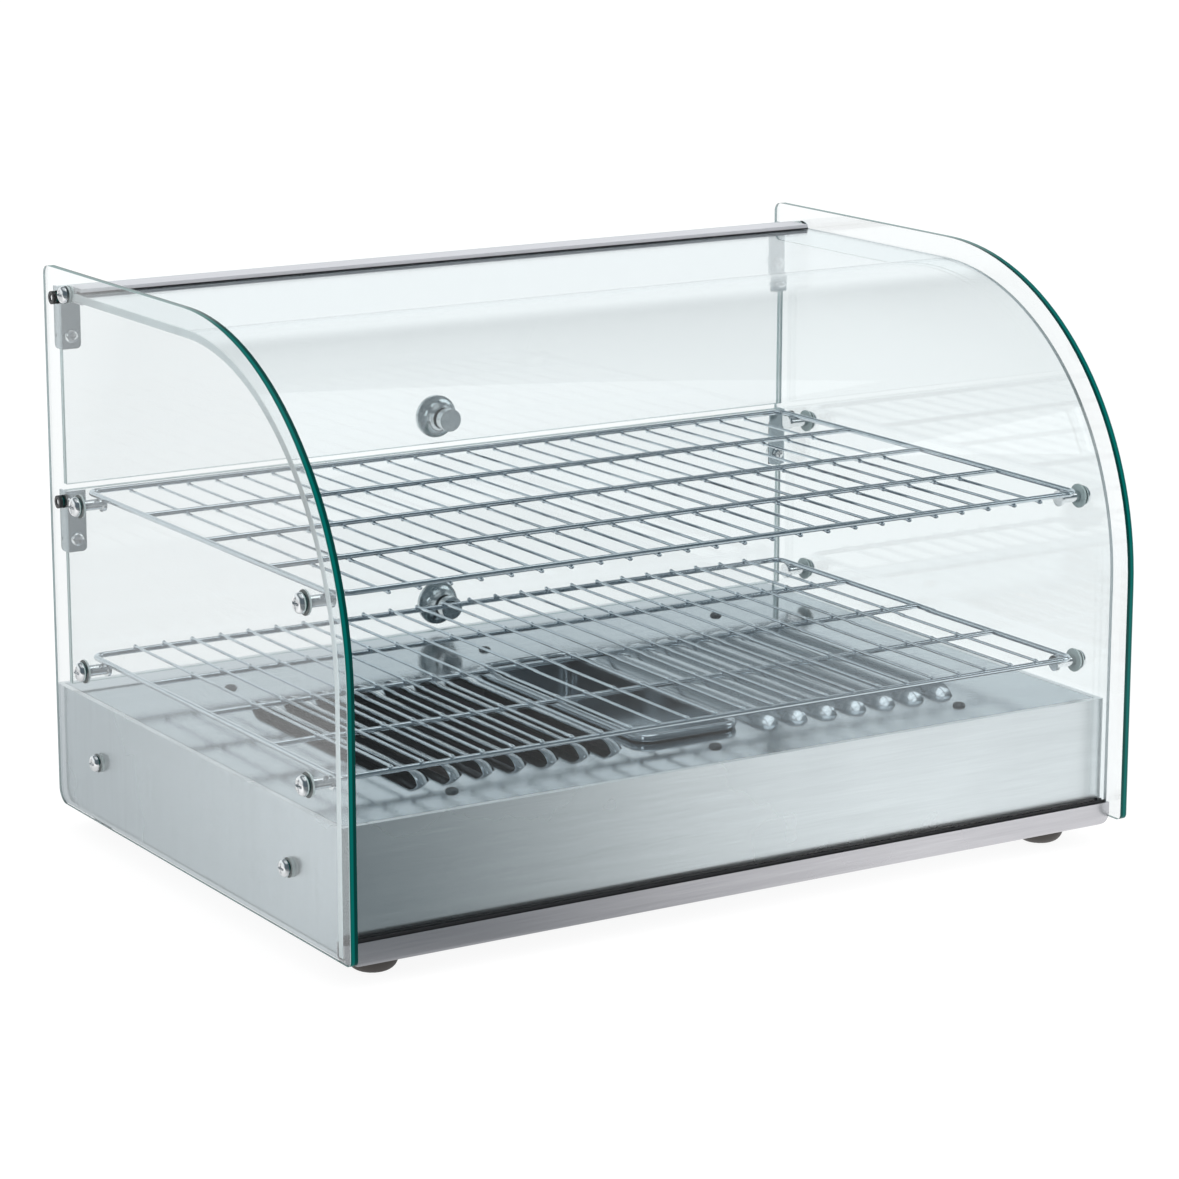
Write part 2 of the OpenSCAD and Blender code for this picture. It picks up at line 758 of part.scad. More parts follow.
module door_screws(p) {
    both_ends() translate([bracket_screw_x, 0, p - bracket_screw_drop]) {
        translate([0, bracket_in_y, 0]) rotate([90, 0, 0]) domed_head(4.4, 2.4);
        bar_y(0, bracket_in_y, 0, 2, door_out_y - bracket_in_y);
        bar_y(0, door_out_y, 0, 4, 2.6);
    }
}

// Flared knob outside the door, screwed through the glass from its inner nut
module door_knob(p) {
    z = p + door_over - door_h + knob_up;
    neck = 6.5;
    flare = 8.5;
    translate([0, door_out_y + seal_t, z]) rotate([-90, 0, 0]) {
        rotate_extrude() difference() {
            square([knob_d / 2, knob_l]);
            translate([neck + flare, 0]) circle(r = flare, $fn = 96);
        }
        translate([0, 0, -glass_t - 2 * seal_t - 4]) cylinder(r = 3, h = glass_t + 2 * seal_t + 4);
    }
}

module door_washers(p) {
    z = p + door_over - door_h + knob_up;
    difference() {
        union() {
            bar_y(0, door_in_y - seal_t, z, 7.2, seal_t);
            bar_y(0, door_out_y, z, 7.2, seal_t);
            bar_y(0, door_in_y, z, 3.9, glass_t);
        }
        bar_y(0, door_in_y - 2, z, 3.05, glass_t + 4);
    }
}

module door_nut(p) {
    z = p + door_over - door_h + knob_up;
    nut_l = 5.8;
    difference() {
        bar_y(0, door_in_y - seal_t - nut_l, z, 7.7, nut_l);
        bar_y(0, door_in_y - seal_t - 4.2, z, 3.05, 5);
    }
}

module upper_door_glass() { color([0.82, 0.91, 0.90, 0.3]) place() door_glass(high_pivot); }
module upper_door_brackets() { color([0.76, 0.78, 0.80]) place() door_brackets(high_pivot); }
module upper_door_pads() { color([0.10, 0.10, 0.10]) place() door_pads(high_pivot); }
module upper_door_pins() { color("silver") place() door_pins(high_pivot); }
module upper_door_screws() { color("silver") place() door_screws(high_pivot); }
module upper_door_knob() { color([0.66, 0.68, 0.69]) place() door_knob(high_pivot); }
module upper_door_washers() { color([0.05, 0.05, 0.05]) place() door_washers(high_pivot); }
module upper_door_nut() { color([0.68, 0.70, 0.71]) place() door_nut(high_pivot); }
module lower_door_glass() { color([0.82, 0.91, 0.90, 0.3]) place() door_glass(low_pivot); }
module lower_door_brackets() { color([0.76, 0.78, 0.80]) place() door_brackets(low_pivot); }
module lower_door_pads() { color([0.10, 0.10, 0.10]) place() door_pads(low_pivot); }
module lower_door_pins() { color("silver") place() door_pins(low_pivot); }
module lower_door_screws() { color("silver") place() door_screws(low_pivot); }
module lower_door_knob() { color([0.66, 0.68, 0.69]) place() door_knob(low_pivot); }
module lower_door_washers() { color([0.05, 0.05, 0.05]) place() door_washers(low_pivot); }
module lower_door_nut() { color([0.68, 0.70, 0.71]) place() door_nut(low_pivot); }

// --- Heating and controls inside the base --------------------------------

element_r = 4;
element_z = foot_h + 42;
element_bend = 25;
element_x = 130;
element_f = louvre_y + 31;
element_b = louvre_y + 216;

module heating_elements() {
    color([0.35, 0.33, 0.31]) place() for (s = [-1, 1]) {
        for (e = [-1, 1])
            bar_y(s * element_x + e * element_bend, element_f, element_z, element_r,
                  element_b - element_f);
        translate([s * element_x, element_f, element_z]) rotate([0, 0, 180])
            rotate_extrude(angle = 180) translate([element_bend, 0]) circle(r = element_r, $fn = 24);
    }
}

module element_brackets() {
    x = element_bend + element_r + 8;
    color([0.62, 0.64, 0.66]) place() for (s = [-1, 1], y = [element_f + 25, element_b - 25])
        translate([s * element_x, y, 0]) difference() {
            union() {
                block(-x, x, 0, 1.5, foot_h + sheet_t, element_z + element_r + 4);
                block(-x, x, 0, 14, foot_h + sheet_t, foot_h + sheet_t + 1.5);
            }
            for (e = [-1, 1])
                bar_y(e * element_bend, -1, element_z, element_r + 0.1, 4);
        }
}

module element_terminals() {
    color([0.85, 0.84, 0.80]) place() for (s = [-1, 1], e = [-1, 1])
        translate([s * element_x + e * element_bend, element_b, element_z]) {
            bar_y(0, 0, 0, 5, 8);
            bar_y(0, 8, 0, 2, 10);
        }
}

module terminal_block() {
    w = 54;
    color([0.88, 0.88, 0.86]) place() translate([gland_x + 90, rear_y - 60, foot_h + sheet_t]) difference() {
        block(-w / 2, w / 2, 0, 20, 0, 16);
        for (i = [-2:2]) {
            bar_y(i * 10, -1, 8, 2.4, 22);
            bar_z(i * 10, 5, 8, 2, 9);
            bar_z(i * 10, 15, 8, 2, 9);
        }
    }
}

thermostat_y = rear_y - sheet_t;

module thermostat() {
    color([0.80, 0.78, 0.72]) place() translate([dial_x, thermostat_y, control_z]) difference() {
        union() {
            block(-20, 20, -32, -2, -16, 16);
            bar_y(0, -2, 0, 10, 2);
            bar_y(0, -1, 0, 4.9, sheet_t + 1.2);
        }
        bar_y(0, -26, 0, shaft_r + running_gap, 40);
    }
}

// Sensing bulb under the deck beside the tray, with its capillary to the thermostat
module thermostat_bulb() {
    tube = 0.8;
    z = deck_z - 8;
    x = louvre_x - 13;
    y = louvre_y + 130;
    turn_y = thermostat_y - 45;
    color([0.72, 0.45, 0.28]) place() {
        bar_y(x, y - 75, z, 3, 75);
        bar_y(x, y, z, tube, turn_y - y);
        translate([x, turn_y, z]) sphere(r = tube, $fn = 24);
        bar_x(x, turn_y, z, tube, dial_x - x);
        translate([dial_x, turn_y, z]) sphere(r = tube, $fn = 24);
        bar_z(dial_x, turn_y, control_z, tube, z - control_z);
        translate([dial_x, turn_y, control_z]) sphere(r = tube, $fn = 24);
        bar_y(dial_x, turn_y, control_z, tube, 13);
    }
}

module thermostat_shaft() {
    color("silver") place() bar_y(dial_x, thermostat_y - 24, control_z, shaft_r, 24 + dial_l - 2);
}

// Ribbed dial with a raised pointer bar
module thermostat_dial() {
    r = dial_d / 2;
    color([0.08, 0.08, 0.09]) place() translate([dial_x, rear_y + panel_gap, control_z]) rotate([-90, 0, 0])
        difference() {
            union() {
                cylinder(r = r, h = 3);
                cylinder(r = r - 4, h = dial_l - 3);
                translate([-3, -r + 2, 0]) cube([6, 2 * r - 4, dial_l]);
                for (i = [0:11]) rotate([0, 0, 15 + i * 30])
                    translate([r - 5, -1.2, 0]) cube([2, 2.4, dial_l - 5]);
            }
            translate([0, 0, -1]) cylinder(r = shaft_r + 0.02, h = dial_l - 2);
            translate([-0.8, -r + 1, dial_l - 0.8]) cube([1.6, r - 4, 1]);
        }
}

module rocker_frame() {
    w = rocker_w / 2;
    h = rocker_h / 2;
    color([0.07, 0.07, 0.07]) place() translate([rocker_x, 0, control_z]) difference() {
        union() {
            block(-w - 3.5, w + 3.5, rear_y, rear_y + 2, -h - 3.5, h + 3.5);
            block(-w - 1.4, w + 1.4, rear_y - 20, rear_y, -h - 1.4, h + 1.4);
        }
        block(-w, w, rear_y - 17, rear_y + 3, -h, h);
        bar_x(-w - 1, rocker_axis_y, 0, 1.5 + running_gap, 2 * w + 2);
    }
}

// Rocker in its off position, tipped about its two side pins
module rocker_button() {
    w = rocker_w / 2 - 0.4;
    h = rocker_h / 2 - 1.6;
    color([0.75, 0.10, 0.08]) place() translate([rocker_x, rocker_axis_y, control_z])
        rotate([rocker_tilt, 0, 0]) union() {
            difference() {
                block(-w, w, -6, 7.5, -h, h);
                translate([0, 17, 0]) rotate([0, 90, 0])
                    translate([0, 0, -w - 1]) cylinder(r = 11.5, h = 2 * w + 2, $fn = 96);
            }
            bar_x(-w - 1, 0, 0, 1.5, 2 * w + 2);
        }
}

module pilot_lamp() {
    color([0.90, 0.45, 0.08]) place() translate([lamp_x, rear_y, control_z]) {
        bar_y(0, 0, 0, 6.5, 2);
        bar_y(0, 2, 0, 5, 2);
        bar_y(0, -18, 0, 4.9, 18);
    }
}

module cord_gland() {
    color([0.09, 0.09, 0.10]) place() translate([gland_x, rear_y, control_z]) difference() {
        union() {
            bar_y(0, 0, 0, 11, 4);
            bar_y(0, 4, 0, 8.5, 9);
            bar_y(0, -12, 0, 7.9, 12);
            bar_y(0, -sheet_t - 4, 0, 10.5, 4);
        }
        bar_y(0, -14, 0, gland_bore / 2, 30);
    }
}

// --- Drawing -------------------------------------------------------------

side_glass_left();
side_glass_right();
front_glass();
top_rail();
rail_plugs();
rail_gasket();
rail_spacers();
rail_screws();
front_trim();
trim_gasket();
base_shell();
base_floor();
rear_panel();
panel_screws();
deck_panel();
deck_screws();
feet();
foot_screws();
base_spacers();
base_screws();
standoff_barrels();
standoff_washers();
standoff_screws();
standoff_caps();
pivot_bushes();
upper_shelf_frame();
upper_shelf_rods();
lower_shelf_frame();
lower_shelf_rods();
upper_door_glass();
upper_door_brackets();
upper_door_pads();
upper_door_pins();
upper_door_screws();
upper_door_knob();
upper_door_washers();
upper_door_nut();
lower_door_glass();
lower_door_brackets();
lower_door_pads();
lower_door_pins();
lower_door_screws();
lower_door_knob();
lower_door_washers();
lower_door_nut();
water_tray();
heating_elements();
element_brackets();
element_terminals();
terminal_block();
thermostat();
thermostat_bulb();
thermostat_shaft();
thermostat_dial();
rocker_frame();
rocker_button();
pilot_lamp();
cord_gland();
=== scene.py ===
import math

import bmesh
import bpy
import numpy as np
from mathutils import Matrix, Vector


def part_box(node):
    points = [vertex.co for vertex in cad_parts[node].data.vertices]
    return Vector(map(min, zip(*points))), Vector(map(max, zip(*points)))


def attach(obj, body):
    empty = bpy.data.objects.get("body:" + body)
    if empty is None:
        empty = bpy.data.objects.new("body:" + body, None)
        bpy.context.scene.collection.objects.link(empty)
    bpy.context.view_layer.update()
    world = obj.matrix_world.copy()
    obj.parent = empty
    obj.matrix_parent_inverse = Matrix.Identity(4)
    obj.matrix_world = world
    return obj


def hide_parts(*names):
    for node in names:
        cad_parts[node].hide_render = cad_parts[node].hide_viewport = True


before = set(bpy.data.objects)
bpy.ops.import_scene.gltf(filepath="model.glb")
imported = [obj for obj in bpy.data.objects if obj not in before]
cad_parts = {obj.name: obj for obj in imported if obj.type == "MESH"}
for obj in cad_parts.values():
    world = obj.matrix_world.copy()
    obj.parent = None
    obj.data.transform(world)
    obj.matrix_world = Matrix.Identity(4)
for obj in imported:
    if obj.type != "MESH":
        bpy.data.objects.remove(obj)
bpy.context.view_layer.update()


# Side glasses. Two 5 mm float glass panes with the big front radius, cut, drilled and
# edge-polished. The faces are almost clear; the edges gather the green of the glass, with painted shade and
# highlights across them.

def new_material(name):
    """A node material with nothing but its Principled shader joined to its output: returns the
    material, its node tree, the output and the shader."""
    m = bpy.data.materials.new(name)
    m.use_nodes = True
    tree = m.node_tree
    tree.nodes.clear()
    out = tree.nodes.new("ShaderNodeOutputMaterial")
    skin = tree.nodes.new("ShaderNodeBsdfPrincipled")
    tree.links.new(skin.outputs[0], out.inputs[0])
    return m, tree, out, skin


def paint(material, *names):
    """Puts a material on the named frame nodes."""
    for name in names:
        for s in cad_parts[name].material_slots:
            s.material = material


def node(tree, kind, **values):
    """A node of a kind with its plain attributes and its numbered or named inputs set."""
    n = tree.nodes.new(kind)
    for key, value in values.items():
        if key.startswith("in_"):
            n.inputs[int(key[3:])].default_value = value
        else:
            setattr(n, key, value)
    return n


def join(tree, *pairs):
    """Links output, input, output, input ... in pairs."""
    for a, b in zip(pairs[::2], pairs[1::2]):
        tree.links.new(a, b)


def group(name, inputs, outputs):
    """A shader node group with named sockets: (kind, name, default) in, (kind, name) out."""
    g = bpy.data.node_groups.new(name, "ShaderNodeTree")
    for kind, label, default in inputs:
        s = g.interface.new_socket(label, in_out="INPUT", socket_type="NodeSocket" + kind)
        if default is not None:
            s.default_value = default
    for kind, label in outputs:
        g.interface.new_socket(label, in_out="OUTPUT", socket_type="NodeSocket" + kind)
    return g, g.nodes.new("NodeGroupInput"), g.nodes.new("NodeGroupOutput")


def place(tree, g, **values):
    """One use of a node group, with its named inputs set."""
    n = tree.nodes.new("ShaderNodeGroup")
    n.node_tree = g
    for key, value in values.items():
        n.inputs[key.replace("_", " ")].default_value = value
    return n


def math_node(tree, operation, a, b=None, clamp=False):
    """A Math node whose inputs are sockets or numbers."""
    n = tree.nodes.new("ShaderNodeMath")
    n.operation, n.use_clamp = operation, clamp
    for i, value in enumerate((a, b)):
        if value is None:
            continue
        if isinstance(value, (int, float)):
            n.inputs[i].default_value = value
        else:
            tree.links.new(value, n.inputs[i])
    return n.outputs[0]


def blend_colours(tree, fac, a, b):
    """A colour mix from a to b; each is a colour or a socket."""
    n = tree.nodes.new("ShaderNodeMix")
    n.data_type = "RGBA"
    tree.links.new(fac, n.inputs[0])
    for i, value in ((6, a), (7, b)):
        if isinstance(value, tuple):
            n.inputs[i].default_value = (*value, 1)
        else:
            tree.links.new(value, n.inputs[i])
    return n.outputs[2]


def surface(name, points, faces, materials, body, source, kind=None):
    """A closed piece from points and faces: equal points are merged, faces turned outward and
    edges sharper than 30 degrees kept crisp. kind gives each face's material number."""
    mesh = bpy.data.meshes.new(name)
    mesh.from_pydata(points.reshape(-1, 3).tolist(), [], faces.tolist())
    for material in materials:
        mesh.materials.append(material)
    if kind is not None:
        mesh.polygons.foreach_set("material_index", kind.astype(np.int32))
    work = bmesh.new()
    work.from_mesh(mesh)
    bmesh.ops.remove_doubles(work, verts=work.verts, dist=1e-7)
    bmesh.ops.recalc_face_normals(work, faces=work.faces)
    crisp = 0.52
    for edge in work.edges:
        edge.smooth = edge.calc_face_angle(0) < crisp
    for face in work.faces:
        face.smooth = True
    work.to_mesh(mesh)
    work.free()
    o = bpy.data.objects.new(name, mesh)
    bpy.context.collection.objects.link(o)
    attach(o, body)
    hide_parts(source)


def pane_glass(name, face, ior=1.5):
    """Clear glass that lets lamps through; a cloud of wiped marks changes its gloss a little."""
    m, tree, out, skin = new_material(name)
    skin.inputs["Transmission Weight"].default_value = 1.0
    skin.inputs["IOR"].default_value = ior
    place_in = tree.nodes.new("ShaderNodeTexCoord").outputs["Object"]
    cloud = node(tree, "ShaderNodeTexNoise", in_2=7.0, in_3=4.0)
    join(tree, place_in, cloud.inputs["Vector"])
    tint = blend_colours(tree, cloud.outputs[0], tuple(0.985 * c for c in face), face)
    wiped = node(tree, "ShaderNodeMapRange", in_1=0.4, in_2=0.8, in_3=0.012, in_4=0.03)
    join(tree, tint, skin.inputs["Base Color"], cloud.outputs[0], wiped.inputs[0],
         wiped.outputs[0], skin.inputs["Roughness"])
    clear = tree.nodes.new("ShaderNodeBsdfTransparent")
    clear.inputs[0].default_value = (*face, 1)
    mix = tree.nodes.new("ShaderNodeMixShader")
    ray = tree.nodes.new("ShaderNodeLightPath")
    join(tree, ray.outputs["Is Shadow Ray"], mix.inputs[0], skin.outputs[0], mix.inputs[1],
         clear.outputs[0], mix.inputs[2], mix.outputs[0], out.inputs[0])
    return m


def edge_glass(name, inner, outer, painted_light, axis, span, pale_from=9.0):
    """Polished glass edge seen on end, with painted shade and light. The green is the glass's own, but its
    colour runs across the pane from a painted shade at the inner arris to a painted highlight at the outer
    one, with brighter stretches of painted light where it passes light on. Beyond pale_from along Y it takes
    the pale outer colour all over, as the rear edges do."""
    m, tree, out, skin = new_material(name)
    place_in = tree.nodes.new("ShaderNodeTexCoord").outputs["Object"]
    across = tree.nodes.new("ShaderNodeSeparateXYZ")
    along = node(tree, "ShaderNodeTexNoise", in_2=9.0, in_3=2.0)
    join(tree, place_in, across.inputs[0], place_in, along.inputs["Vector"])
    away = math_node(tree, "ABSOLUTE", across.outputs[axis])
    part = node(tree, "ShaderNodeMapRange", in_1=span[0], in_2=span[1])
    ramp = node(tree, "ShaderNodeValToRGB")
    ramp.color_ramp.elements[0].position, ramp.color_ramp.elements[0].color = 0.08, (*inner, 1)
    ramp.color_ramp.elements[1].position, ramp.color_ramp.elements[1].color = 0.98, (*outer, 1)
    # Painted shade at the inner arris, a painted highlight at the outer one and painted light between them.
    for at, share in ((0.34, 0.25), (0.52, 1.0), (0.74, 0.9), (0.90, 0.5)):
        ramp.color_ramp.elements.new(at).color = (*(share * c for c in painted_light), 1)
    # Painted light: brighter stretches along the edge where it passes light on.
    painted_stretch = node(tree, "ShaderNodeMapRange", in_1=0.5, in_2=0.72, in_3=0.0, in_4=0.6)
    rear = node(tree, "ShaderNodeMapRange", in_1=pale_from, in_2=pale_from + 0.004)
    join(tree, away, part.inputs[0], part.outputs[0], ramp.inputs[0], along.outputs[0], painted_stretch.inputs[0],
         across.outputs[1], rear.inputs[0])
    tone = blend_colours(tree, painted_stretch.outputs[0], ramp.outputs[0], painted_light)
    join(tree, blend_colours(tree, rear.outputs[0], tone, outer), skin.inputs["Base Color"])
    skin.inputs["Specular IOR Level"].default_value = 0.15
    gloss = node(tree, "ShaderNodeMapRange", in_1=0.3, in_2=0.7, in_3=0.06, in_4=0.16)
    join(tree, along.outputs[0], gloss.inputs[0], gloss.outputs[0], skin.inputs["Roughness"])
    return m


def pane(name, source, faces, edges, axis, body):
    """A pane with two finishes: the frame's own pane, copied, with each polygon given to the
    edge where the length of its normal along axis is under a half."""
    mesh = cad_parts[source].data.copy()
    mesh.name = name
    mesh.materials.clear()
    mesh.materials.append(faces)
    mesh.materials.append(edges)
    normals = np.empty(3 * len(mesh.polygons), np.float32)
    mesh.polygons.foreach_get("normal", normals)
    is_edge = np.abs(normals.reshape(-1, 3)[:, axis]) < 0.5
    mesh.polygons.foreach_set("material_index", is_edge.astype(np.int32))
    o = bpy.data.objects.new(name, mesh)
    bpy.context.collection.objects.link(o)
    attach(o, body)
    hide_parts(source)


side_face = pane_glass("side_face", (0.955, 0.980, 0.983), 1.62)
lo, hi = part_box("side_glass_right")
# Side edges: the near-black inner colour is painted shade, the pale outer one a painted highlight on the
# arris, and the teal stretches are painted light in the glass's own green.
side_edge = edge_glass("side_edge", (0.001, 0.040, 0.036), (0.52, 0.66, 0.67), (0.0, 0.120, 0.105),
                       0, (lo[0], hi[0]), hi[1] - 0.006)
for hand in ("left", "right"):
    pane("side_pane_" + hand, "side_glass_" + hand, side_face, side_edge, 0, "case")


# Bent front glass. One 5 mm pane bent to a quarter round; its cut ends look pale grey-blue,
# because they stand inside the side glasses and pass light along the bend.

bent_face = pane_glass("bent_face", (0.935, 0.970, 0.976), 1.45)
bent_edge = edge_glass("bent_edge", (0.70, 0.78, 0.81), (0.80, 0.87, 0.89), (0.76, 0.84, 0.86),
                       1, (-0.2, 0.2))


def bent_pane(thick=0.005, radius=0.182, arris=0.0004, steps=64):
    """The pane's section runs up the straight front, round a quarter circle and back along the
    straight top; the inner line is the same with the radius less the thickness. The section is
    drawn at both ends, once full and once drawn in by the arris, and joined along X."""
    lo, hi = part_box("front_glass")
    t = np.linspace(0, np.pi / 2, steps)

    def line(inset):
        r = radius - inset
        y0, z1 = lo[1] + inset, hi[2] - inset
        arc = np.stack([y0 + r * (1 - np.cos(t)), z1 - r * (1 - np.sin(t))], 1)
        return np.vstack([[y0, lo[2]], arc, [hi[1], z1]])

    def section(shrink):
        out, inn = line(shrink), line(thick - shrink)
        for path in (out, inn):
            path[0, 1] += shrink
            path[-1, 0] -= shrink
        return np.vstack([out, inn[::-1]])

    full, small = section(0.0), section(arris)
    rows = [(lo[0], small), (lo[0] + arris, full), (hi[0] - arris, full), (hi[0], small)]
    points = np.array([np.column_stack([np.full(len(q), x), q]) for x, q in rows])
    n = len(full)
    a = np.arange(n)
    b = (a + 1) % n
    along = np.vstack([np.stack([k * n + a, k * n + b, (k + 1) * n + b, (k + 1) * n + a], 1)
                       for k in range(3)])
    half = np.arange(n // 2 - 1)
    ends = np.vstack([k * n + np.stack([half, half + 1, n - 2 - half, n - 1 - half], 1) for k in (0, 3)])
    kind = np.r_[np.ones(n), np.zeros(n), np.ones(n), np.ones(len(ends))]
    surface("bent_pane", points, np.vstack([along, ends]), (bent_face, bent_edge), "case",
            "front_glass", kind)


bent_pane()


# Base box, panels and rear rail. Stainless sheet and profile, brushed in one direction,
# folded, with a few handling marks that show only in the gloss; the rail is lacquered matt.

# Mask of the faces that look along one axis: the absolute value of that part of the normal.
facing, g_in, g_out = group("facing", [("Vector", "Axis", (1, 0, 0))], [("Float", "Mask")])
geometry = facing.nodes.new("ShaderNodeNewGeometry")
product = node(facing, "ShaderNodeVectorMath", operation="DOT_PRODUCT")
join(facing, geometry.outputs["Normal"], product.inputs[0], g_in.outputs[0], product.inputs[1])
size = math_node(facing, "ABSOLUTE", product.outputs["Value"])
ramp = node(facing, "ShaderNodeMapRange", in_1=0.55, in_2=0.85)
join(facing, size, ramp.inputs[0], ramp.outputs[0], g_out.inputs[0])

# Brushing: noise drawn out along one axis; the tone and the height come from two sizes of it.
brushing, g_in, g_out = group(
    "brushing",
    [("Vector", "Stretch", (1, 1, 1)), ("Float", "Fine", 900.0), ("Float", "Cloud", 6.0)],
    [("Float", "Tone"), ("Float", "Height"), ("Float", "Marks")])
spot = brushing.nodes.new("ShaderNodeTexCoord").outputs["Object"]
drawn = node(brushing, "ShaderNodeVectorMath", operation="MULTIPLY")
join(brushing, spot, drawn.inputs[0], g_in.outputs["Stretch"], drawn.inputs[1])
fine = node(brushing, "ShaderNodeTexNoise", in_3=2.0, in_4=0.6)
wide = node(brushing, "ShaderNodeTexNoise", in_3=3.0, in_4=0.6)
marks = node(brushing, "ShaderNodeTexNoise", in_3=4.0, in_4=0.55)
join(brushing, drawn.outputs[0], fine.inputs[0], g_in.outputs["Fine"], fine.inputs[2],
     drawn.outputs[0], wide.inputs[0], spot, marks.inputs[0], g_in.outputs["Cloud"], marks.inputs[2])
join(brushing, math_node(brushing, "MULTIPLY", g_in.outputs["Fine"], 0.22), wide.inputs[2])
tone = math_node(brushing, "ADD", math_node(brushing, "MULTIPLY", fine.outputs[0], 0.5),
                 math_node(brushing, "MULTIPLY", wide.outputs[0], 0.5))
join(brushing, tone, g_out.inputs["Tone"], fine.outputs[0], g_out.inputs["Height"],
     marks.outputs[0], g_out.inputs["Marks"])


def brushed(name, dark, light, stretch, rough, fine=900.0, depth=0.08, side=None, metal=1.0):
    """Brushed sheet: tone, gloss and grain follow one brushing. side gives the stretch of the faces that look
    along X and a colour that darkens them, a painted shade; metal is under 1 where the sheet is lacquered."""
    m, tree, out, skin = new_material(name)
    skin.inputs["Metallic"].default_value = metal
    grain = place(tree, brushing, Stretch=stretch, Fine=fine)
    tone, height, marks = grain.outputs
    if side:
        other = place(tree, brushing, Stretch=side[0], Fine=fine)
        mask = place(tree, facing, Axis=(1, 0, 0)).outputs[0]
        pick = node(tree, "ShaderNodeMix")
        join(tree, mask, pick.inputs[0], tone, pick.inputs[2], other.outputs[0], pick.inputs[3])
        lift = node(tree, "ShaderNodeMix")
        join(tree, mask, lift.inputs[0], height, lift.inputs[2], other.outputs[1], lift.inputs[3])
        tone, height = pick.outputs[0], lift.outputs[0]
    colour = node(tree, "ShaderNodeValToRGB")
    colour.color_ramp.elements[0].position, colour.color_ramp.elements[0].color = 0.3, (*dark, 1)
    colour.color_ramp.elements[1].position, colour.color_ramp.elements[1].color = 0.7, (*light, 1)
    join(tree, tone, colour.inputs[0])
    shade = colour.outputs[0]
    # Painted shade: the faces that look along X are multiplied by the side colour, darker and bluer than the
    # rest.
    if side:
        side_shade = blend_colours(tree, mask, (1, 1, 1), side[1])
        times = node(tree, "ShaderNodeMix", data_type="RGBA", blend_type="MULTIPLY", in_0=1.0)
        join(tree, shade, times.inputs[6], side_shade, times.inputs[7])
        shade = times.outputs[2]
    join(tree, shade, skin.inputs["Base Color"])
    gloss = node(tree, "ShaderNodeMapRange", in_1=0.3, in_2=0.7, in_3=rough - 0.05, in_4=rough + 0.08)
    join(tree, marks, gloss.inputs[0], gloss.outputs[0], skin.inputs["Roughness"])
    bump = node(tree, "ShaderNodeBump", in_0=depth, in_1=0.0002)
    join(tree, height, bump.inputs["Height"], bump.outputs[0], skin.inputs["Normal"])
    return m


# The base's X-facing sides carry a painted shade (0.81, 0.86, 0.89) on top of their own grain.
base_steel = brushed("base_steel", (0.76, 0.77, 0.78), (0.86, 0.87, 0.88), (0.03, 1, 1), 0.25,
                     depth=0.05, side=((1, 1, 0.03), (0.81, 0.86, 0.89)))
paint(base_steel, "base_shell", "rear_panel")
rail_steel = brushed("rail_steel", (0.56, 0.565, 0.60), (0.63, 0.635, 0.67), (0.03, 1, 1), 0.42, metal=0.1)
paint(rail_steel, "top_rail")
trim_steel = brushed("trim_steel", (0.50, 0.495, 0.52), (0.60, 0.595, 0.62), (0.03, 1, 1), 0.24)
paint(trim_steel, "front_trim")
plate_steel = brushed("plate_steel", (0.38, 0.44, 0.47), (0.48, 0.54, 0.57), (1, 1, 0.04), 0.20)
paint(plate_steel, "upper_door_brackets", "lower_door_brackets")
zinc_sheet = brushed("zinc_sheet", (0.20, 0.21, 0.23), (0.30, 0.31, 0.33), (1, 1, 1), 0.45, fine=60.0)
paint(zinc_sheet, "base_floor", "element_brackets")


# Deck and water tray. Satin stainless sheet; the louvres are pressed up out of the deck and
# the tray is drawn in one piece with a rolled rim. Both are finer and smoother than the base, and their steel
# is set much darker than the base's, a painted shade.

# Painted shade: the deck's stainless is set much darker than the same steel of the base.
deck_steel = brushed("deck_steel", (0.44, 0.48, 0.51), (0.52, 0.56, 0.59), (0.05, 1, 1), 0.10,
                     fine=700.0, depth=0.04)
paint(deck_steel, "deck_panel", "water_tray")


# Wire shelves and plated small parts. Drawn steel wire, welded at each crossing and bright
# chrome plated; the screws, support barrels and pins have the same plating.

def chrome(name, colour, rough):
    """Bright plating with slightly clouded gloss."""
    m, tree, out, skin = new_material(name)
    skin.inputs["Metallic"].default_value = 1.0
    spot = tree.nodes.new("ShaderNodeTexCoord").outputs["Object"]
    cloud = node(tree, "ShaderNodeTexNoise", in_2=140.0, in_3=3.0)
    join(tree, spot, cloud.inputs["Vector"])
    dark = tuple(0.82 * c for c in colour)
    join(tree, blend_colours(tree, cloud.outputs[0], dark, colour), skin.inputs["Base Color"])
    gloss = node(tree, "ShaderNodeMapRange", in_1=0.3, in_2=0.7, in_3=rough, in_4=rough + 0.08)
    join(tree, cloud.outputs[0], gloss.inputs[0], gloss.outputs[0], skin.inputs["Roughness"])
    bump = node(tree, "ShaderNodeBump", in_0=0.02, in_1=0.0005)
    join(tree, cloud.outputs[0], bump.inputs["Height"], bump.outputs[0], skin.inputs["Normal"])
    return m


def rings(points):
    """Quads that join each ring of an array (solids, rings, around, 3) to the next ring."""
    count, rows, around, _ = points.shape
    i, j = np.meshgrid(np.arange(rows - 1), np.arange(around), indexing="ij")
    j2 = (j + 1) % around
    quad = np.stack([i * around + j, (i + 1) * around + j, (i + 1) * around + j2, i * around + j2], -1)
    return (quad.reshape(-1, 4)[None] + (np.arange(count) * rows * around)[:, None, None]).reshape(-1, 4)


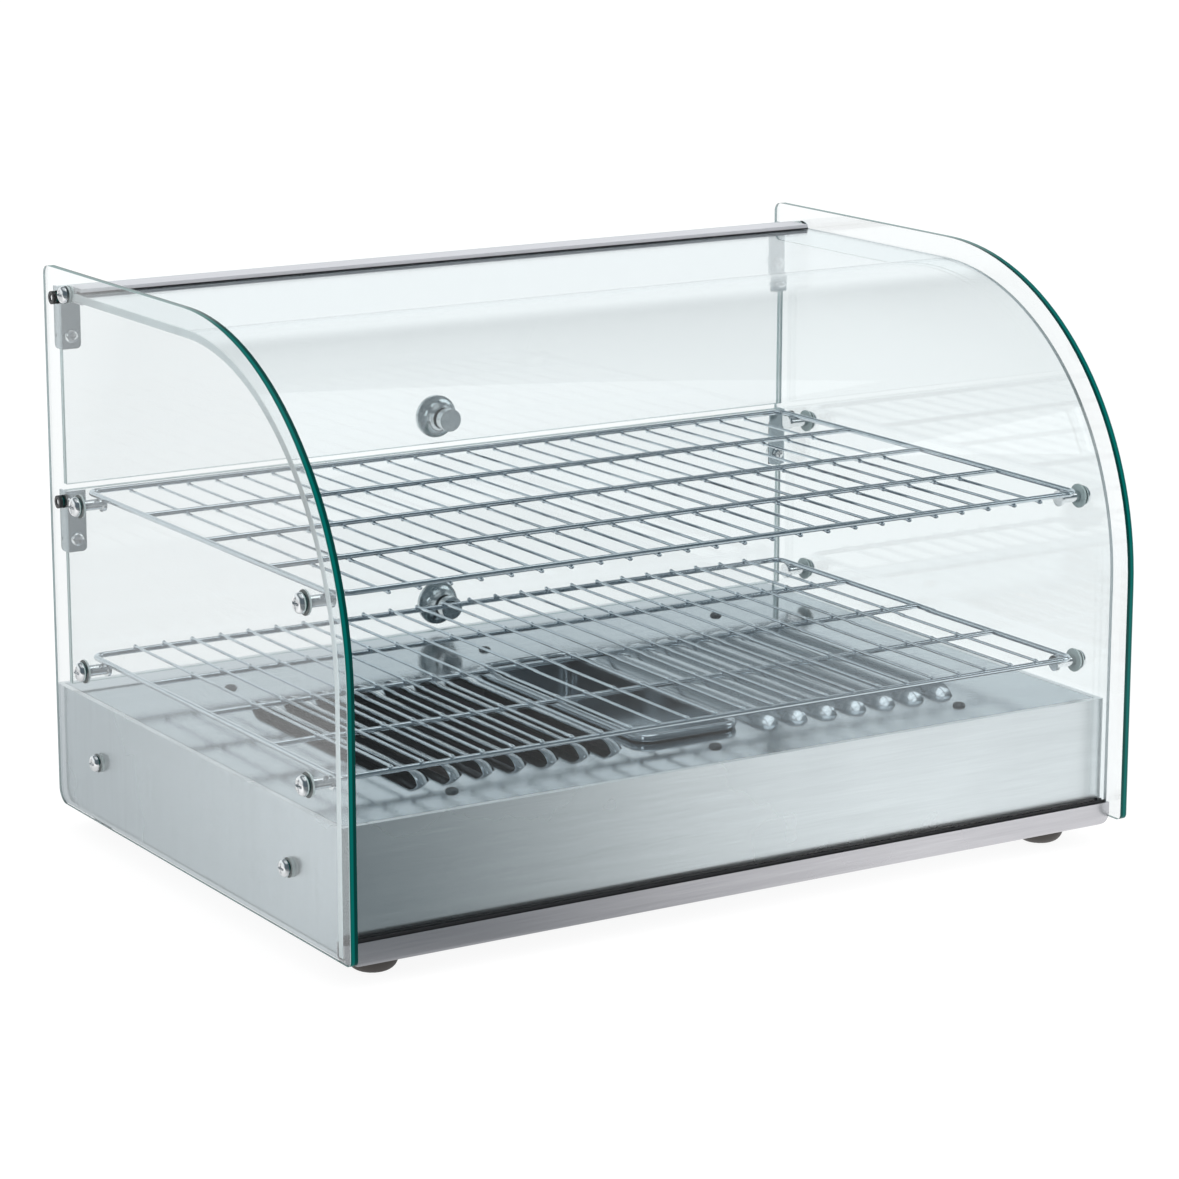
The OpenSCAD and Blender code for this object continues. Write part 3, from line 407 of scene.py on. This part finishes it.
def cross_rods(name, shelf, pitch=0.020, rods=24, wires=5, wire_radius=0.00175, bead=0.00042,
               bead_width=0.0013):
    """Rods along Y. The radius along a rod is the wire's own, plus a low bell at each long wire
    where the weld squeezes out, times a quarter round at both tips:
    r(y) = (r0 + bead * sum(exp(-((y - y_k) / bead_width)^2))) * sqrt(1 - (1 - e)^2), where e is
    the distance to the nearer tip over r0, at most 1."""
    lo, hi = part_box(shelf + "_rods")
    frame_lo, frame_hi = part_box(shelf + "_frame")
    r0 = (hi[2] - lo[2]) / 2
    at = np.linspace(frame_lo[1] + wire_radius, frame_hi[1] - wire_radius, wires)
    near = np.concatenate([a + np.linspace(-0.0032, 0.0032, 9) for a in at])
    tips = r0 * np.array([0.05, 0.3, 0.7])
    y = np.concatenate([near, np.linspace(lo[1], hi[1], 9), lo[1] + tips, hi[1] - tips])
    y = np.unique(y.clip(lo[1], hi[1]))
    bell = np.exp(-((y[:, None] - at[None]) / bead_width) ** 2).sum(1)
    tip = np.clip(np.minimum(y - lo[1], hi[1] - y) / r0, 0, 1)
    r = (r0 + bead * bell) * np.sqrt(1 - (1 - tip) ** 2)
    t = np.linspace(0, 2 * np.pi, 12, endpoint=False)
    x = (np.arange(rods) - (rods - 1) / 2) * pitch
    points = np.empty((rods, len(y), len(t), 3))
    points[..., 0] = x[:, None, None] + r[None, :, None] * np.cos(t)
    points[..., 1] = y[None, :, None]
    points[..., 2] = (lo[2] + hi[2]) / 2 + r[None, :, None] * np.sin(t)
    surface(name, points, rings(points), [wire_chrome], shelf, shelf + "_rods")


def screws(source, body, head, shank, material, axis=0, sign=None, middle=False):
    """Pan head screws with a cross recess. A ring's radius grows from 0 to the rim and its height
    is h * sqrt(1 - (r / R)^4); inside either slot of the cross the height drops by a smooth step
    of the distance to the slot's wall. Below the head the rings follow the shank's (radius,
    depth) pairs. The places are the corners of the node's box, drawn in by the head; axis is the
    screws' axis, sign their outward side, or None for both ends, and middle adds a row at X 0."""
    big, tall = head
    t = np.linspace(0, 2 * np.pi, 72, endpoint=False)
    rho = np.sin(np.linspace(0, 1, 22) * np.pi / 2) * big
    u, v = rho[:, None] * np.cos(t), rho[:, None] * np.sin(t)
    narrow, wide = np.minimum(abs(u), abs(v)), np.maximum(abs(u), abs(v))
    step = np.clip((0.13 * big - narrow) / (0.05 * big), 0, 1)
    step *= np.clip((0.6 * big - wide) / (0.12 * big), 0, 1)
    w = tall * np.sqrt(1 - (rho / big) ** 4)[:, None] - 0.6 * tall * step * step * (3 - 2 * step)
    low_r, low_w = np.array([(big, 0.0), *shank, (0.0, shank[-1][1])]).T
    u = np.vstack([u, low_r[:, None] * np.cos(t)])
    v = np.vstack([v, low_r[:, None] * np.sin(t)])
    w = np.vstack([w, np.repeat(-low_w[:, None], len(t), 1)])
    lo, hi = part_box(source)
    inset = [tall if n == axis else big for n in range(3)]
    spans = [sorted({round(lo[n] + inset[n], 6), round(hi[n] - inset[n], 6)}) for n in range(3)]
    if sign is not None:
        spans[axis] = [spans[axis][-1 if sign > 0 else 0]]
    spans[0] += [0.0] * middle
    centres = [(x, y, z) for x in spans[0] for y in spans[1] for z in spans[2]]
    a, b = [n for n in range(3) if n != axis]
    points = np.empty((len(centres), *u.shape, 3))
    for k, centre in enumerate(centres):
        out = np.sign(centre[axis]) if sign is None else sign
        points[k, ..., a], points[k, ..., b] = centre[a] + u, centre[b] + v
        points[k, ..., axis] = centre[axis] + out * w
    surface(source + "_cross", points, rings(points), [material], body, source)


wire_chrome = chrome("wire_chrome", (0.72, 0.77, 0.81), 0.04)
paint(wire_chrome, "upper_shelf_frame", "lower_shelf_frame")
cross_rods("upper_cross_rods", "upper_shelf")
cross_rods("lower_cross_rods", "lower_shelf")
bright_chrome = chrome("bright_chrome", (0.93, 0.94, 0.95), 0.06)
paint(bright_chrome, "panel_screws", "foot_screws", "standoff_barrels", "standoff_caps",
      "thermostat_shaft", "upper_door_pins", "lower_door_pins")
m5, m4, nut = 0.0025, 0.0020, 0.0040
screws("standoff_screws", "case", (0.0062, 0.0032), [(m5, 0.0), (m5, 0.0138)], bright_chrome)
screws("base_screws", "case", (0.0054, 0.0030),
       [(m4, 0.0), (m4, 0.0083), (nut, 0.0083), (nut, 0.0113), (m4, 0.0113), (m4, 0.0150)], bright_chrome)
screws("rail_screws", "case", (0.0054, 0.0032), [(m4, 0.0), (m4, 0.0206)], bright_chrome)
for door in ("upper_door", "lower_door"):
    screws(door + "_screws", door, (0.0044, 0.0024),
           [(m4, 0.0), (m4, 0.0078), (nut, 0.0078), (nut, 0.0104)], bright_chrome, 1, -1)
black_plated = chrome("black_plated", (0.13, 0.14, 0.15), 0.16)
screws("deck_screws", "case", (0.0040, 0.0022), [(m4, 0.0), (m4, 0.0080)], black_plated, 2, 1, True)


# Door glasses. Two 5 mm panes with polished edges, drilled for the knob and the brackets.
# They hang from the pins in the brackets and shut by their own weight.

door_face = pane_glass("door_face", (0.930, 0.956, 0.962))
lo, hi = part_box("upper_door_glass")
# Door edges: the darker inner colour is painted shade, the pale outer one a painted highlight and the middle
# one painted light.
door_edge = edge_glass("door_edge", (0.30, 0.44, 0.45), (0.68, 0.78, 0.79), (0.56, 0.70, 0.71),
                       1, (lo[1], hi[1]))
for door in ("upper_door", "lower_door"):
    pane(door + "_pane", door + "_glass", door_face, door_edge, 1, door)


# Door knobs and their nuts. Turned from steel bar, so fine rings run round the knob's own axis;
# the knob's screw passes through the glass and the nut holds it from inside.

def turned(name, height):
    """Turned steel: noise of the distance from the knob's axis, which lies along Y."""
    m, tree, out, skin = new_material(name)
    skin.inputs["Metallic"].default_value = 1.0
    spot = tree.nodes.new("ShaderNodeTexCoord").outputs["Object"]
    centred = node(tree, "ShaderNodeMapping", in_1=(0, 0, -height), in_3=(1, 0, 1))
    far = node(tree, "ShaderNodeVectorMath", operation="LENGTH")
    join(tree, spot, centred.inputs[0], centred.outputs[0], far.inputs[0])
    turns = node(tree, "ShaderNodeTexNoise", noise_dimensions="1D", in_2=1800.0, in_3=2.0)
    join(tree, far.outputs["Value"], turns.inputs["W"])
    join(tree, blend_colours(tree, turns.outputs[0], (0.48, 0.51, 0.52), (0.66, 0.69, 0.70)),
         skin.inputs["Base Color"])
    gloss = node(tree, "ShaderNodeMapRange", in_1=0.3, in_2=0.7, in_3=0.10, in_4=0.20)
    join(tree, turns.outputs[0], gloss.inputs[0], gloss.outputs[0], skin.inputs["Roughness"])
    bump = node(tree, "ShaderNodeBump", in_0=0.12, in_1=0.0002)
    join(tree, turns.outputs[0], bump.inputs["Height"], bump.outputs[0], skin.inputs["Normal"])
    return m


for door in ("upper_door", "lower_door"):
    lo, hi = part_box(door + "_knob")
    paint(turned(door + "_turned", (lo[2] + hi[2]) / 2), door + "_knob", door + "_nut")


# Rubber and plastic small parts: seals and feet of moulded rubber, bushes, plugs, dial,
# switch, gland and blocks of moulded plastic, clear washers under the screw heads.

def moulded(name, colour, rough, speckle=0.15, grain=600.0, depth=0.1, top=None):
    """Moulded skin: speckled colour, uneven gloss and a fine grain. top gives a height along Z
    and the second colour that the profile has above it."""
    m, tree, out, skin = new_material(name)
    spot = tree.nodes.new("ShaderNodeTexCoord").outputs["Object"]
    cloud = node(tree, "ShaderNodeTexNoise", in_2=45.0, in_3=4.0)
    fine = node(tree, "ShaderNodeTexNoise", in_2=grain, in_3=2.0)
    join(tree, spot, cloud.inputs["Vector"], spot, fine.inputs["Vector"])
    low, high = (tuple(c * k for c in colour) for k in (1 - speckle, 1 + speckle))
    tone = blend_colours(tree, cloud.outputs[0], low, high)
    if top:
        parts = tree.nodes.new("ShaderNodeSeparateXYZ")
        lip = node(tree, "ShaderNodeMapRange", in_1=top[0], in_2=top[0] + 0.0001)
        join(tree, spot, parts.inputs[0], parts.outputs[2], lip.inputs[0])
        tone = blend_colours(tree, lip.outputs[0], tone, top[1])
    join(tree, tone, skin.inputs["Base Color"])
    gloss = node(tree, "ShaderNodeMapRange", in_1=0.3, in_2=0.7, in_3=rough - 0.07, in_4=rough + 0.1)
    join(tree, cloud.outputs[0], gloss.inputs[0], gloss.outputs[0], skin.inputs["Roughness"])
    bump = node(tree, "ShaderNodeBump", in_0=depth, in_1=0.0003)
    join(tree, fine.outputs[0], bump.inputs["Height"], bump.outputs[0], skin.inputs["Normal"])
    return m


seal_rubber = moulded("seal_rubber", (0.018, 0.018, 0.02), 0.5)
paint(seal_rubber, "trim_gasket", "upper_door_pads", "lower_door_pads",
      "upper_door_washers", "lower_door_washers")
lo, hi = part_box("rail_gasket")
rail_seal = moulded("rail_seal", (0.52, 0.54, 0.57), 0.4, top=(hi[2] - 0.0009, (0.018, 0.018, 0.02)))
paint(rail_seal, "rail_gasket")
foot_rubber = moulded("foot_rubber", (0.055, 0.048, 0.044), 0.55, grain=350.0, depth=0.2)
paint(foot_rubber, "feet")
black_nylon = moulded("black_nylon", (0.022, 0.022, 0.023), 0.38)
paint(black_nylon, "rail_plugs", "pivot_bushes", "rocker_frame", "cord_gland")
dial_plastic = moulded("dial_plastic", (0.02, 0.02, 0.022), 0.28, depth=0.05)
paint(dial_plastic, "thermostat_dial")
switch_red = moulded("switch_red", (0.50, 0.03, 0.02), 0.22, speckle=0.06, depth=0.03)
paint(switch_red, "rocker_button")
ceramic = moulded("ceramic", (0.78, 0.75, 0.68), 0.5, speckle=0.06)
paint(ceramic, "element_terminals", "thermostat")
block_plastic = moulded("block_plastic", (0.80, 0.80, 0.76), 0.42, speckle=0.04)
paint(block_plastic, "terminal_block")
element_sheath = moulded("element_sheath", (0.16, 0.14, 0.13), 0.5, speckle=0.3)
paint(element_sheath, "heating_elements")
copper = chrome("copper", (0.75, 0.42, 0.26), 0.2)
paint(copper, "thermostat_bulb")
lamp_amber = moulded("lamp_amber", (0.90, 0.36, 0.04), 0.12, speckle=0.05, depth=0.02)
paint(lamp_amber, "pilot_lamp")
clear_nylon = moulded("clear_nylon", (0.46, 0.54, 0.54), 0.22, speckle=0.06, depth=0.03)
paint(clear_nylon, "rail_spacers", "base_spacers", "standoff_washers")


# Studio: a white floor, white surroundings, broad soft lamps and the camera. Mirrored in glass
# and metal, the room has a dark front, a pale rear wall and a floor that pales to the right.

reach = 30.0
floor_mesh = bpy.data.meshes.new("floor")
floor_mesh.from_pydata([(-reach, -reach, 0), (reach, -reach, 0), (reach, reach, 0), (-reach, reach, 0)],
                       [], [(0, 1, 2, 3)])
floor = bpy.data.objects.new("floor", floor_mesh)
bpy.context.collection.objects.link(floor)
floor_paint, tree, out, skin = new_material("floor_paint")
spot = tree.nodes.new("ShaderNodeTexCoord").outputs["Object"]
cloud = node(tree, "ShaderNodeTexNoise", in_2=2.0)
skin.inputs["Roughness"].default_value = 0.7
skin.inputs["Specular IOR Level"].default_value = 0.0
# The mirrored floor: it pales along a slanting line (across), stays pale beside the case, more so
# towards its rear (back, further), and is dim far out in front (ahead).
sloped = node(tree, "ShaderNodeVectorMath", operation="DOT_PRODUCT", in_1=(0.885, 0.466, 0))
parts = tree.nodes.new("ShaderNodeSeparateXYZ")
across, beside, back = (
    node(tree, "ShaderNodeMapRange", interpolation_type="SMOOTHSTEP", in_1=start, in_2=end)
    for start, end in ((-0.36, 0.06), (-0.48, -0.27), (-0.32, -0.10)))
beside.inputs[3].default_value, beside.inputs[4].default_value = 1.0, 0.66
further = node(tree, "ShaderNodeMapRange", in_1=-0.05, in_2=0.45, in_3=1.0, in_4=0.62)
ahead = node(tree, "ShaderNodeMapRange", interpolation_type="SMOOTHSTEP",
             in_1=-0.9, in_2=-0.55, in_3=0.3, in_4=1.0)
join(tree, spot, cloud.inputs["Vector"], spot, sloped.inputs[0], spot, parts.inputs[0],
     sloped.outputs["Value"], across.inputs[0], parts.outputs[0], beside.inputs[0],
     parts.outputs[1], back.inputs[0], parts.outputs[1], further.inputs[0], parts.outputs[1], ahead.inputs[0],
     blend_colours(tree, cloud.outputs[0], (0.14, 0.14, 0.14), (0.16, 0.16, 0.16)), skin.inputs["Base Color"])
side_light = math_node(tree, "MULTIPLY", beside.outputs[0], further.outputs[0])
shade = math_node(tree, "MAXIMUM", math_node(tree, "MULTIPLY", across.outputs[0], ahead.outputs[0]),
                  math_node(tree, "MULTIPLY", side_light, back.outputs[0]))
mirrored = blend_colours(tree, shade, (0.09, 0.11, 0.12), (1.0, 1.0, 1.0))
ray = tree.nodes.new("ShaderNodeLightPath")
bounced = math_node(tree, "GREATER_THAN", ray.outputs["Glossy Depth"], 0.5)
join(tree, blend_colours(tree, bounced, (0.90, 0.90, 0.90), mirrored), skin.inputs["Emission Color"])
skin.inputs["Emission Strength"].default_value = 1.0
floor_mesh.materials.append(floor_paint)

world = bpy.data.worlds.new("studio")
bpy.context.scene.world = world
world.use_nodes = True
tree = world.node_tree
tree.nodes.clear()
white, dim = tree.nodes.new("ShaderNodeBackground"), tree.nodes.new("ShaderNodeBackground")
white.inputs[0].default_value, white.inputs[1].default_value = (1, 1, 1, 1), 1.0
spot = tree.nodes.new("ShaderNodeTexCoord").outputs["Generated"]
parts = tree.nodes.new("ShaderNodeSeparateXYZ")
behind = node(tree, "ShaderNodeMapRange", interpolation_type="SMOOTHSTEP", in_1=-0.35, in_2=0.45)
above = node(tree, "ShaderNodeMapRange", interpolation_type="SMOOTHSTEP", in_1=0.78, in_2=0.97)
low = node(tree, "ShaderNodeMapRange", interpolation_type="SMOOTHSTEP",
           in_1=0.40, in_2=0.58, in_3=1.0, in_4=0.15)
join(tree, spot, parts.inputs[0], parts.outputs[1], behind.inputs[0], parts.outputs[2], above.inputs[0],
     parts.outputs[2], low.inputs[0])
rear_wall = math_node(tree, "MULTIPLY", behind.outputs[0], low.outputs[0])
wall = blend_colours(tree, rear_wall, (0.10, 0.13, 0.15), (0.90, 0.95, 0.97))
join(tree, blend_colours(tree, above.outputs[0], wall, (0.62, 0.66, 0.68)), dim.inputs[0])
ray = tree.nodes.new("ShaderNodeLightPath")
mix = tree.nodes.new("ShaderNodeMixShader")
out = tree.nodes.new("ShaderNodeOutputWorld")
bounced = math_node(tree, "GREATER_THAN", ray.outputs["Glossy Depth"], 0.5)
join(tree, bounced, mix.inputs[0], white.outputs[0], mix.inputs[1], dim.outputs[0], mix.inputs[2],
     mix.outputs[0], out.inputs[0])


def soft_lamp(name, at, aim, width, height, power):
    """A rectangular lamp at a point, facing another point."""
    lamp = bpy.data.lights.new(name, "AREA")
    lamp.shape, lamp.size, lamp.size_y, lamp.energy = "RECTANGLE", width, height, power
    o = bpy.data.objects.new(name, lamp)
    bpy.context.collection.objects.link(o)
    o.visible_glossy = False
    o.location = at
    o.rotation_euler = (Vector(aim) - Vector(at)).to_track_quat("-Z", "Y").to_euler()


soft_lamp("top_lamp", (0.2, -0.3, 1.9), (0, 0, 0.1), 1.6, 1.2, 7)
soft_lamp("right_lamp", (2.0, -1.2, 1.2), (0, 0, 0.15), 1.0, 1.4, 9)
soft_lamp("left_lamp", (-1.8, -1.5, 0.9), (0, 0, 0.15), 0.5, 1.2, 4)

camera = bpy.data.cameras.new("camera")
camera.sensor_width = 36.0
camera.lens = 120.31
eye = bpy.data.objects.new("camera", camera)
bpy.context.collection.objects.link(eye)
eye.location = (-1.2612, -2.05808, 0.73005)
eye.rotation_euler = (math.radians(90 - 13.30), 0, math.radians(-31.66))
camera.clip_start, camera.clip_end = 0.05, 100.0
bpy.context.scene.camera = eye
bpy.context.scene.view_settings.view_transform = "Standard"
